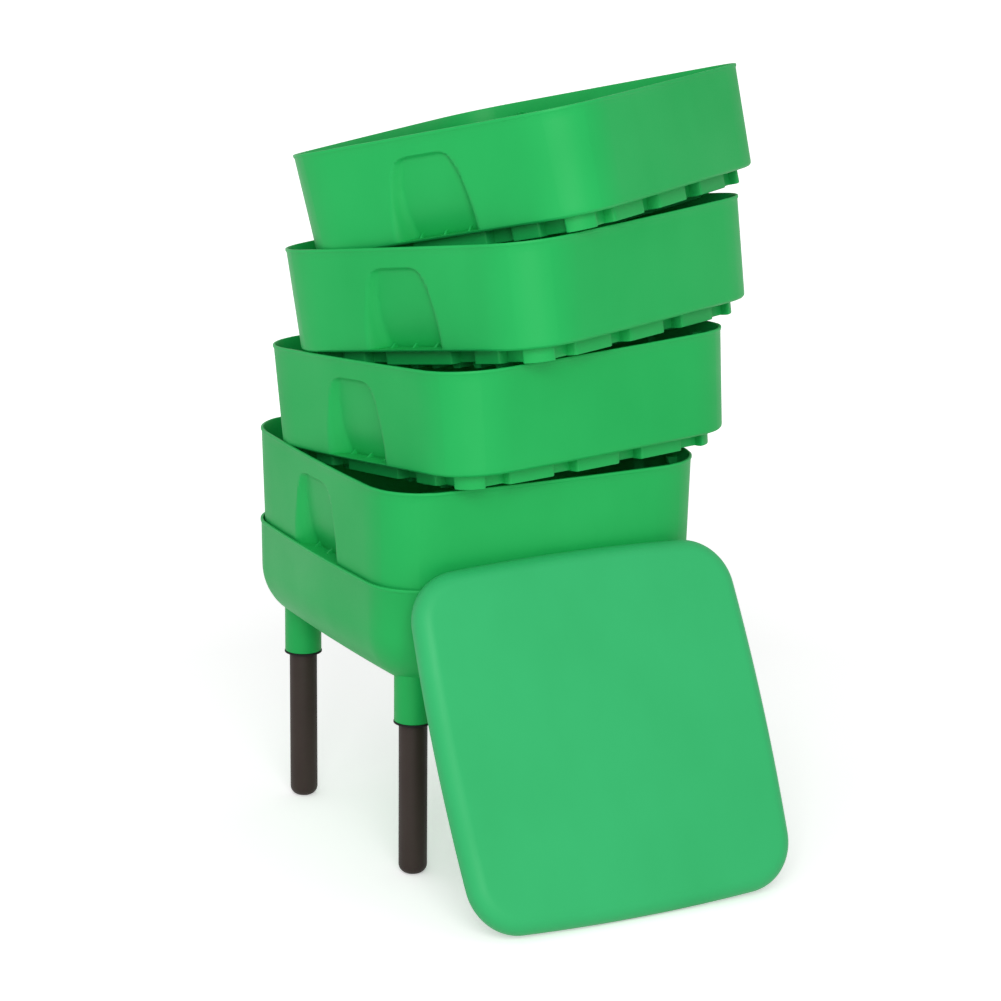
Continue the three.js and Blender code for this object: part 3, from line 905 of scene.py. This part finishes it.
    def inside(self) -> list[Ring]:
        """Draws the rings down the wall's inner face and over the floor.

        Returns:
            The rings.
        """
        shelf, floor = self.height - self.plate, self.height + self.skirt_depth - self.floor
        pressed = 1 + self.wall
        depths = [TRAY_LIP[0][0], *reversed([d for d in WALL_DEPTHS if d < shelf - 0.0005])]
        rings = [self.wall_ring(d, self.drafted(d) + self.wall, pressed) for d in depths]
        last = self.wall_ring(shelf, self.lip_stand + self.draft + self.wall, pressed)
        edge = self.skirt_ring(shelf, self.wall, True)
        # Where the recess reaches in past the skirt, the inner face drops straight from it.
        dropped = []
        for line, above, beside in zip(self.lines, last, edge):
            reach = Matrix.Rotation(-line.side * QUARTER_TURN, 3, "Z")
            over = (reach @ above).x < (reach @ beside).x and line.side % 2 == 0
            dropped.append(Vector((above.x, above.y, above.z - 0.0023)) if over else beside)
        foot = [self.skirt_ring(depth, self.wall, True) for depth in (shelf + 0.0024, floor)]
        return [*rings, last, dropped, *foot, self.centre_ring(floor)]

    def shell(self) -> Piece:
        """Wraps the whole shell, without its slots and ribs."""
        lip = [self.wall_ring(depth, inset) for depth, inset in TRAY_LIP]
        rings = self.outside() + lip + self.inside()
        LOG.info("tray shell: %d lines, %d rings", len(self.lines), len(rings))
        return skin("tray_shell", rings)

    def floor_rib(self, y: float) -> Piece:
        """Makes the tapered rib under the floor at a distance from the middle."""
        under, half = -(self.height + self.skirt_depth), self.rib_half_width
        foot = under - self.rib_depth
        reach = self.rib_half - max(0.0, abs(y) - self.rib_full_to) ** 2 * self.rib_shortening
        rib = block("rib", (-reach, y - half, foot), (reach, y + half, under + 0.001))
        with chosen(rib, "FACE", lambda middle, normal: normal.z < -0.9):
            bpy.ops.transform.resize(value=(1, self.rib_taper, 1), center_override=(0, y, foot))
        return round_edges(rib, self.rib_round, 2, lambda m, d: m.z < under)

    def ribs(self) -> Piece:
        """Makes one object of the ribs under the floor, in the recesses and inside the walls."""
        middle = (self.rib_rows - 1) / 2
        parts = [self.floor_rib((row - middle) * self.rib_pitch) for row in range(self.rib_rows)]
        shelf, half = self.plate - self.height, self.gusset_half_width
        back = self.rim.half - self.lip_stand - self.draft - self.recess_deep
        behind, ahead = -back - self.gusset_reach[0], -back + self.gusset_reach[1]
        head = shelf + self.gusset_height
        for turn in (0, 2):
            for y in self.gusset_places:
                low = (behind, y - half, shelf - 0.001)
                gusset = wedge("gusset", low, (ahead, y + half, head), self.gusset_height)
                parts.append(move_mesh(gusset, Matrix.Rotation(turn * QUARTER_TURN, 4, "Z")))
        return joined(parts + self.rests.model(), "tray_ribs")

    def slots(self) -> Piece:
        """Makes the round-ended cutters for the drainage slots as one object."""
        under = -(self.height + self.skirt_depth)
        x, y = self.slot_half
        first = block("slot", (-x, -y, under - 0.004), (x, y, under + 0.006))
        round_edges(first, y * 0.98, 4, lambda m, d: abs(d.z) > 0.9)
        cutters = []
        for row in range(1, self.rib_rows):
            for column in (-0.5, 0.5):
                place = (column * self.slot_pitch, (row - self.rib_rows / 2) * self.rib_pitch, 0)
                cutters.append(move_mesh(copy_of(first, "slot_copy"), Matrix.Translation(place)))
        bpy.data.objects.remove(first)
        return joined(cutters, "tray_slots")

    def model(self) -> Piece:
        """Models the pattern that all the trays are copied from."""
        tray = drop_flaps(carve(self.shell(), self.ribs(), Cut.JOIN, crossing=True))
        tray = close_holes(clean(carve(tray, self.slots(), Cut.TAKE_AWAY), 2e-5))
        if tray.data.validate():
            LOG.warning("the tray's mesh had faces that had to be taken out")
        return smooth(tray, 34)


@dataclass
class TrayPile:
    """The four trays in their photographed pose, each with its turns about X, Y and Z."""

    tray: WormTray
    poses: tuple[tuple[float, float, float], ...] = (
        (0.0, 0.0, 0.0), (-4.99, -1.69, 9.41), (-8.06, -3.76, 21.62), (-11.83, -7.32, 29.18),
    )

    def build(self) -> None:
        """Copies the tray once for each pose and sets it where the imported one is."""
        pattern = self.tray.model()
        for number, pose in enumerate(self.poses, 1):
            piece = copy_of(pattern, f"worm_tray_{number}")
            turns = [Matrix.Rotation(math.radians(a), 4, axis) for a, axis in zip(pose, "XYZ")]
            move_mesh(piece, turns[0] @ turns[1] @ turns[2])
            line_up(piece, f"tray_{number}")
            show(piece, GREEN_MOULDING, f"tray_{number}", f"tray_{number}")
        bpy.data.objects.remove(pattern)


# The collector and what is fixed to it

TUB_LIP = (
    (0.0046, 0.001), (0.0038, 0.0006), (0.003, 0.0001), (0.0026, 0), (0.0009, 0), (0.0003, 0.0002),
    (0, 0.0008), (0, 0.0022), (0.0003, 0.0028), (0.001, 0.003), (0.005, 0.004),
)


@dataclass
class CollectorTub:
    """The tub that catches the liquid, with its leg sockets and tap boss."""

    rim: BowedSquare = BowedSquare(0.1898, 0.061, 0.00565, 0.001)
    rim_height: float = 0.3194
    underside: float = 0.206
    wall: float = 0.003
    lip_stand: float = 0.001
    draft: float = 0.0006
    round_under: float = 0.062
    floor_edge: float = 0.040
    nest: float = 0.0072
    leg_inset: float = 0.1378
    socket_radius: float = 0.0199
    socket_foot: float = 0.1674
    socket_head: float = 0.226
    bore_radius: float = 0.0153
    tap_height: float = 0.233
    boss_radius: float = 0.015
    boss_reach: tuple[float, float] = (0.157, 0.188)
    tap_bore: float = 0.0083
    rest_wall: float = 0.1852

    def shell(self) -> Piece:
        """Wraps the tub, still without sockets, ribs and boss, from under its floor to its inside."""
        closing = self.lip_stand + self.draft
        middle = closing + self.round_under + self.floor_edge
        floor = self.underside + self.wall
        inner = reversed(quarter_round(self.round_under - self.wall, 14))
        profile = [(middle, self.underside)]
        profile += [(closing + i, self.underside + r) for i, r in quarter_round(self.round_under, 18)]
        profile += [(inset, self.rim_height - depth) for depth, inset in TUB_LIP]
        profile += [(closing + self.wall + i, floor + r) for i, r in inner]
        stations = self.rim.even_stations(28, 10)
        rings = [self.rim.ring(stations, i, h) for i, h in (*profile, (middle, floor))]
        return skin("collector", rings)

    def leg_places(self) -> list[tuple[str, float, float]]:
        """Returns each leg's name with its place across and along the tub."""
        across, along = (("left", -1), ("right", 1)), (("front", -1), ("back", 1))
        inset = self.leg_inset
        return [(f"{a}_{b}", x * inset, y * inset) for a, y in along for b, x in across]

    def build(self) -> None:
        """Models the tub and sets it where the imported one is."""
        tub = self.shell()
        added, bores = [], []
        for _, x, y in self.leg_places():
            move = Matrix.Translation((x, y, 0))
            socket = round_bar("socket", self.socket_radius, self.socket_foot, self.socket_head, 96)
            added.append(move_mesh(soften(socket, 0.0006, 2), move))
            bore = round_bar("bore", self.bore_radius, 0.15, self.socket_head - 0.003, 96)
            bores.append(move_mesh(bore, move))
        lie_down = lying_at(0, 0, self.tap_height)
        boss = soften(round_bar("boss", self.boss_radius, *self.boss_reach, 64), 0.0006, 2)
        added.append(move_mesh(boss, lie_down))
        bores.append(move_mesh(round_bar("tap_bore", self.tap_bore, 0.15, 0.2, 48), lie_down))
        added += RestRibs(self.rest_wall, self.rim_height - self.nest).model()
        tub = carve(tub, joined(added, "tub_parts"), Cut.JOIN)
        tub = carve(tub, joined(bores, "tub_bores"), Cut.TAKE_AWAY)
        smooth(clean(tub, 2e-5), 34)
        move_mesh(tub, Matrix.Translation((*middle_of("collector_tub"), 0)))
        show(tub, GREEN_MOULDING, "collector", "collector_tub")


@dataclass
class LegSet:
    """The four legs and the collars under their sockets."""

    radius: float = 0.015
    foot_round: float = 0.0098
    collar_inner: float = 0.0153
    collar_outer: float = 0.0205

    def build(self, names: Iterable[str]) -> None:
        """Models the leg and the collar of each of these places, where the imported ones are."""
        for name in names:
            middle = Matrix.Translation((*middle_of(f"leg_{name}"), 0))
            low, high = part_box(f"leg_{name}")
            leg = round_bar("leg_of_" + name, self.radius, low.z, high.z, 72)
            round_edges(leg, self.foot_round, 8, lambda m, d: m.z < low.z + NEAR)
            smooth(soften(leg, 0.0008, 2, 60))
            show(move_mesh(leg, middle), LEG_BROWN, "collector", f"leg_{name}")
            low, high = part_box(f"leg_collar_{name}")
            collar = washer_ring(
                "collar_of_" + name, self.collar_inner, self.collar_outer, low.z, high.z
            )
            smooth(soften(collar, 0.0005, 3))
            show(move_mesh(collar, middle), BLACK_RUBBER, "collector", f"leg_collar_{name}")


@dataclass
class DrainTap:
    """The tap in the front wall: body, nut, seals and spindle."""

    height: float = 0.233
    clearance: float = 0.0003
    flange: float = 0.004
    flange_radius: float = 0.0145
    shank_radius: float = 0.008
    shank_length: float = 0.048
    barrel_radius: float = 0.0085
    barrel_length: float = 0.030
    housing_radius: float = 0.011
    spout_radius: float = 0.0075
    spout_drop: float = 0.033
    waterway: float = 0.0045
    washer_radius: float = 0.0135
    seal_radii: tuple[float, float] = (0.00605, 0.00705)
    nut_across: float = 0.024
    nut_chamfer: float = 0.0133
    spindle_radius: float = 0.007
    spindle_ahead: float = 0.017
    groove_height: float = 0.010
    groove_half: float = 0.0012
    hub_radius: float = 0.010
    handle_foot: float = 0.0153
    handle_head: float = 0.0223
    handle_half: tuple[float, float] = (0.017, 0.004)

    def middle(self) -> tuple[float, float]:
        """Returns the tap's place across the front, and where its flange starts."""
        low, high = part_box("tap_gasket")
        return (low.x + high.x) / 2, low.y - 0.0003

    def lying(self) -> Matrix:
        """Returns the move that lays an upright piece along -Y with its foot at the flange's back."""
        return lying_at(*self.middle(), self.height)

    def upright(self, ahead: float) -> Matrix:
        """Returns the move of an upright piece to a place in front of the flange's back."""
        x, y = self.middle()
        return Matrix.Translation((x, y - ahead, self.height))

    def build_body(self) -> None:
        """Models the tap's body: flange, shank, barrel, housing and spout, bored through."""
        end = self.flange + self.barrel_length
        spout = end - self.spout_radius
        lying, at_spout, at_spindle = self.lying(), self.upright(spout), self.upright(self.spindle_ahead)
        body = soften(round_bar("body_of_tap", self.flange_radius, 0, self.flange, 72), 0.0008, 3)
        move_mesh(body, lying)
        for name, radius, foot, head, sides, rounding, steps, place in (
            ("shank", self.shank_radius, -self.shank_length, 0.002, 56, 0.0005, 2, lying),
            ("barrel", self.barrel_radius, 0.002, end, 56, 0.0014, 3, lying),
            ("housing", self.housing_radius, -0.011, 0.015, 64, 0.0012, 3, at_spindle),
            ("spout", self.spout_radius, -self.spout_drop, 0, 56, 0.0008, 3, at_spout),
        ):
            rod = soften(round_bar(name, radius, foot, head, sides), rounding, steps)
            carve(body, move_mesh(rod, place), Cut.JOIN)
        for radius, foot, head, sides, place in (
            (self.waterway, -0.06, spout, 40, lying),
            (self.waterway, -0.04, 0, 40, at_spout),
            (self.spindle_radius + self.clearance, -0.0083, 0.02, 56, at_spindle),
        ):
            carve(body, move_mesh(round_bar("bore", radius, foot, head, sides), place), Cut.TAKE_AWAY)
        show(smooth(clean(body, NEAR)), BLACK_PLASTIC, "collector", "tap_body")

    def build_seals(self) -> None:
        """Models the gasket, the washer and the ring in the spindle's groove."""
        hole = self.shank_radius + self.clearance
        for name, node in (("gasket_of_tap", "tap_gasket"), ("washer_of_tap", "tap_washer")):
            low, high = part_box(node)
            ring = washer_ring(name, hole, self.washer_radius, 0, high.y - low.y)
            lay = lying_at((low.x + high.x) / 2, high.y, self.height)
            show(move_mesh(smooth(soften(ring, 0.0003, 2)), lay), BLACK_RUBBER, "collector", node)
        low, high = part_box("tap_seal")
        seal = soften(washer_ring("seal_of_tap", *self.seal_radii, low.z, high.z), 0.0004, 4)
        move_mesh(smooth(seal, 60), Matrix.Translation((*middle_of("tap_seal"), 0)))
        show(seal, BLACK_RUBBER, "spindle", "tap_seal")

    def build_nut(self) -> None:
        """Models the hexagonal nut inside the tub."""
        low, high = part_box("tap_nut")
        nut = round_bar("nut_of_tap", self.nut_across / math.sqrt(3), 0, high.y - low.y, 6)
        carve(nut, round_bar("chamfer", self.nut_chamfer, -0.001, 0.02, 64), Cut.KEEP_COMMON)
        bore = round_bar("bore", self.shank_radius + self.clearance, -0.01, 0.02, 56)
        carve(nut, bore, Cut.TAKE_AWAY)
        lay = lying_at((low.x + high.x) / 2, high.y, self.height)
        show(move_mesh(smooth(soften(nut, 0.0004, 2)), lay), BLACK_PLASTIC, "collector", "tap_nut")

    def build_lever(self) -> None:
        """Models the spindle with its groove, cross bore and winged handle."""
        radius, groove, half = self.spindle_radius, self.groove_height, self.groove_half
        foot, head = self.handle_foot, self.handle_head
        lever = round_bar("spindle", radius, -0.008, groove - half, 56)
        x, y = self.handle_half
        wing = block("wing", (-x, -y, foot), (x, y, head))
        round_edges(wing, 0.0035, 5, lambda m, d: abs(d.z) > 0.9)
        for part in (
            round_bar("core", radius - half, groove - 0.003, groove + 0.003, 56),
            round_bar("neck", radius, groove + half, 0.018, 56),
            soften(round_bar("hub", self.hub_radius, foot, head, 64), 0.0012, 3),
            soften(wing, 0.001, 3, 60),
        ):
            carve(lever, part, Cut.JOIN)
        cross = round_bar("bore", self.waterway, -0.011, 0.011, 40)
        carve(lever, move_mesh(cross, Matrix.Rotation(QUARTER_TURN, 4, "Y")), Cut.TAKE_AWAY)
        lever.name = "lever_of_tap"
        move_mesh(smooth(clean(lever, NEAR)), self.upright(self.spindle_ahead))
        show(lever, BLACK_PLASTIC, "spindle", "tap_lever")

    def build(self) -> None:
        """Models all the tap's pieces."""
        self.build_body()
        self.build_seals()
        self.build_nut()
        self.build_lever()


@dataclass
class Lid:
    """The shallow lid that leans against the front."""

    edge: BowedSquare = BowedSquare(0.1904, 0.056, 0.0075, 0.004)
    depth: float = 0.0224
    round_edge: float = 0.0167
    wall: float = 0.0028
    crown: float = 0.0004
    ring_inset: float = 0.0052
    ring_wall: float = 0.0024
    ring_sink: float = 0.0015
    ring_round: float = 0.0004
    lean: float = -26.36
    turn: float = 1.14

    def profile(self) -> list[tuple[float, float]]:
        """Draws half a section, from the middle of the face round the edge and back inside.

        Returns:
            Pairs of inset and height.
        """
        brim, ease = self.depth - self.crown, self.ring_round
        flat, sink = self.depth - self.wall, self.ring_sink
        front, back = self.ring_inset, self.ring_inset + self.ring_wall
        inner = quarter_round(self.round_edge - self.wall, 8)
        hollow = [(self.wall + i, flat - r) for i, r in reversed(inner)]
        inside = sorted(hollow)
        face = [(0.150, self.depth), (0.110, self.depth), (0.070, self.depth - self.crown * 0.5)]
        face.append((0.035, brim))
        rounding = [(i, brim - r) for i, r in quarter_round(self.round_edge, 14)]
        foot = [(0, 0.0006), (0.0002, 0.0002), (0.0006, 0)]
        rim = foot + [(self.wall - i, h) for i, h in reversed(foot)]
        ring = [(front, between(inside, front)), (front, sink + ease), (front + ease, sink),
                (back - ease, sink), (back, sink + ease), (back, between(inside, back))]
        ahead = [p for p in hollow if p[0] < front - 0.0002]
        behind = [p for p in hollow if p[0] > back + 0.0002]
        return face + rounding + rim + ahead + ring + behind + [(0.060, flat), (0.150, flat)]

    def build(self) -> None:
        """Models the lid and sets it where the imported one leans."""
        stations = self.edge.even_stations(28, 12)
        lid = smooth(skin("lid_cover", [self.edge.ring(stations, i, h) for i, h in self.profile()]), 34)
        lean, turn = math.radians(90 + self.lean), math.radians(self.turn)
        move_mesh(lid, Matrix.Rotation(turn, 4, "Z") @ Matrix.Rotation(lean, 4, "X"))
        line_up(lid, "lid")
        show(lid, GREEN_LID_PAINTED_PALER, "lid", "lid")


# The studio


@dataclass
class Studio:
    """The camera, floor, background and lamps."""

    focal_px: float = 3738.16
    centre_px: tuple[float, float] = (487.026, 524.267)
    image_px: float = 1001.0
    azimuth: float = -27.163
    elevation: float = 15.195
    roll: float = 0.46
    distance: float = 4.01532
    target: tuple[float, float, float] = (0.017043, 0.0, 0.325015)
    sensor: float = 36.0
    ambient: float = 0.54
    floor_size: float = 14
    floor_lift: float = 0.40
    far_lift: float = 0.70
    floor_near: float = 0.75
    floor_far: float = 1.9

    def place_camera(self) -> None:
        """Puts the camera where the photograph was taken from."""
        tub = Vector((*middle_of("collector_tub"), 0))
        a, e, roll = (math.radians(v) for v in (self.azimuth, self.elevation, self.roll))
        back = Vector((math.sin(a) * math.cos(e), -math.cos(a) * math.cos(e), math.sin(e)))
        across = back.cross(Vector((0, 0, -1))).normalized()
        rise = back.cross(across)
        right = across * math.cos(roll) + rise * math.sin(roll)
        up = rise * math.cos(roll) - across * math.sin(roll)
        data = bpy.data.cameras.new("camera")
        data.sensor_width = self.sensor
        data.lens = self.focal_px * self.sensor / self.image_px
        half = self.image_px / 2
        data.shift_x = (half - self.centre_px[0]) / self.image_px
        data.shift_y = (self.centre_px[1] - half) / self.image_px
        data.clip_end = 100
        camera = bpy.data.objects.new("camera", data)
        bpy.context.scene.collection.objects.link(camera)
        camera.matrix_world = Matrix((right, up, back)).transposed().to_4x4()
        camera.location = Vector(self.target) + tub + back * self.distance
        bpy.context.scene.camera = camera

    def lamp(
        self, name: str, place: Sequence[float], aim: Sequence[float], size: float, power: float
    ) -> None:
        """Hangs a soft square lamp that faces a point, with its power in watts."""
        data = bpy.data.lights.new(name, "AREA")
        data.shape = "SQUARE"
        data.size = size
        data.energy = power
        lamp = bpy.data.objects.new(name, data)
        bpy.context.scene.collection.objects.link(lamp)
        lamp.location = place
        lamp.rotation_mode = "QUATERNION"
        lamp.rotation_quaternion = (Vector(aim) - Vector(place)).to_track_quat("-Z", "Y")

    def seen_directly(self, tree: Tree) -> Socket:
        """Returns a mask of what the camera, a reflection or glass looks at."""
        path = tree.nodes.new("ShaderNodeLightPath")
        seen = sum_of(tree, "MAXIMUM", path.outputs["Is Camera Ray"], path.outputs["Is Glossy Ray"])
        return sum_of(tree, "MAXIMUM", seen, path.outputs["Is Transmission Ray"])

    def build_floor(self) -> None:
        """Lays a large white floor that keeps the composter's shadow."""
        bpy.ops.mesh.primitive_plane_add(size=self.floor_size, location=(0, 0, 0))
        floor = name_new("studio_floor")
        material = bpy.data.materials.new("studio_floor")
        material.use_nodes = True
        tree = material.node_tree
        shader = set_inputs(tree.nodes["Principled BSDF"], {
            "Base Color": (0.93, 0.93, 0.93, 1),
            "Roughness": 0.9,
            "Specular IOR Level": 0.05,
            "Emission Color": (1, 1, 1, 1),
        })
        away = tree.nodes.new("ShaderNodeVectorMath")
        away.operation = "LENGTH"
        feed(tree, object_place(tree), away.inputs[0])
        reach, lifts = (self.floor_near, self.floor_far), (self.floor_lift, self.far_lift)
        lift = spread(tree, away.outputs["Value"], reach, lifts)
        lift = sum_of(tree, "MULTIPLY", self.seen_directly(tree), lift)
        feed(tree, lift, shader.inputs["Emission Strength"])
        floor.data.materials.append(material)

    def build_world(self) -> None:
        """Makes the background white and the light from all round soft."""
        world = bpy.data.worlds.new("studio")
        bpy.context.scene.world = world
        world.use_nodes = True
        tree = world.node_tree
        light = set_inputs(tree.nodes["Background"], {"Color": (1, 1, 1, 1)})
        strength = spread(tree, self.seen_directly(tree), (0, 1), (self.ambient, 1.0))
        feed(tree, strength, light.inputs["Strength"])

    def build(self) -> None:
        """Sets up the whole studio."""
        self.place_camera()
        self.build_floor()
        self.build_world()
        self.lamp("key", (-1.3, -2.8, 1.9), (0, 0, 0.4), 1.6, 50)
        self.lamp("fill", (-2.2, -1.9, 2.3), (0, 0, 0.4), 1.8, 12)
        bpy.context.scene.view_settings.view_transform = "Standard"


def corners(box: tuple[Vector, Vector]) -> list[list[float]]:
    """Turns a box into plain lists of numbers."""
    return [list(box[0]), list(box[1])]


def main() -> None:
    """Builds every piece and the studio."""
    logging.basicConfig(level=logging.INFO, format="%(name)s: %(message)s")
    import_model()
    Studio().build()
    tub = CollectorTub()
    tub.build()
    LegSet().build(name for name, _, _ in tub.leg_places())
    DrainTap().build()
    TrayPile(WormTray()).build()
    Lid().build()
    bpy.context.view_layer.update()


if __name__ == "__main__":
    main()
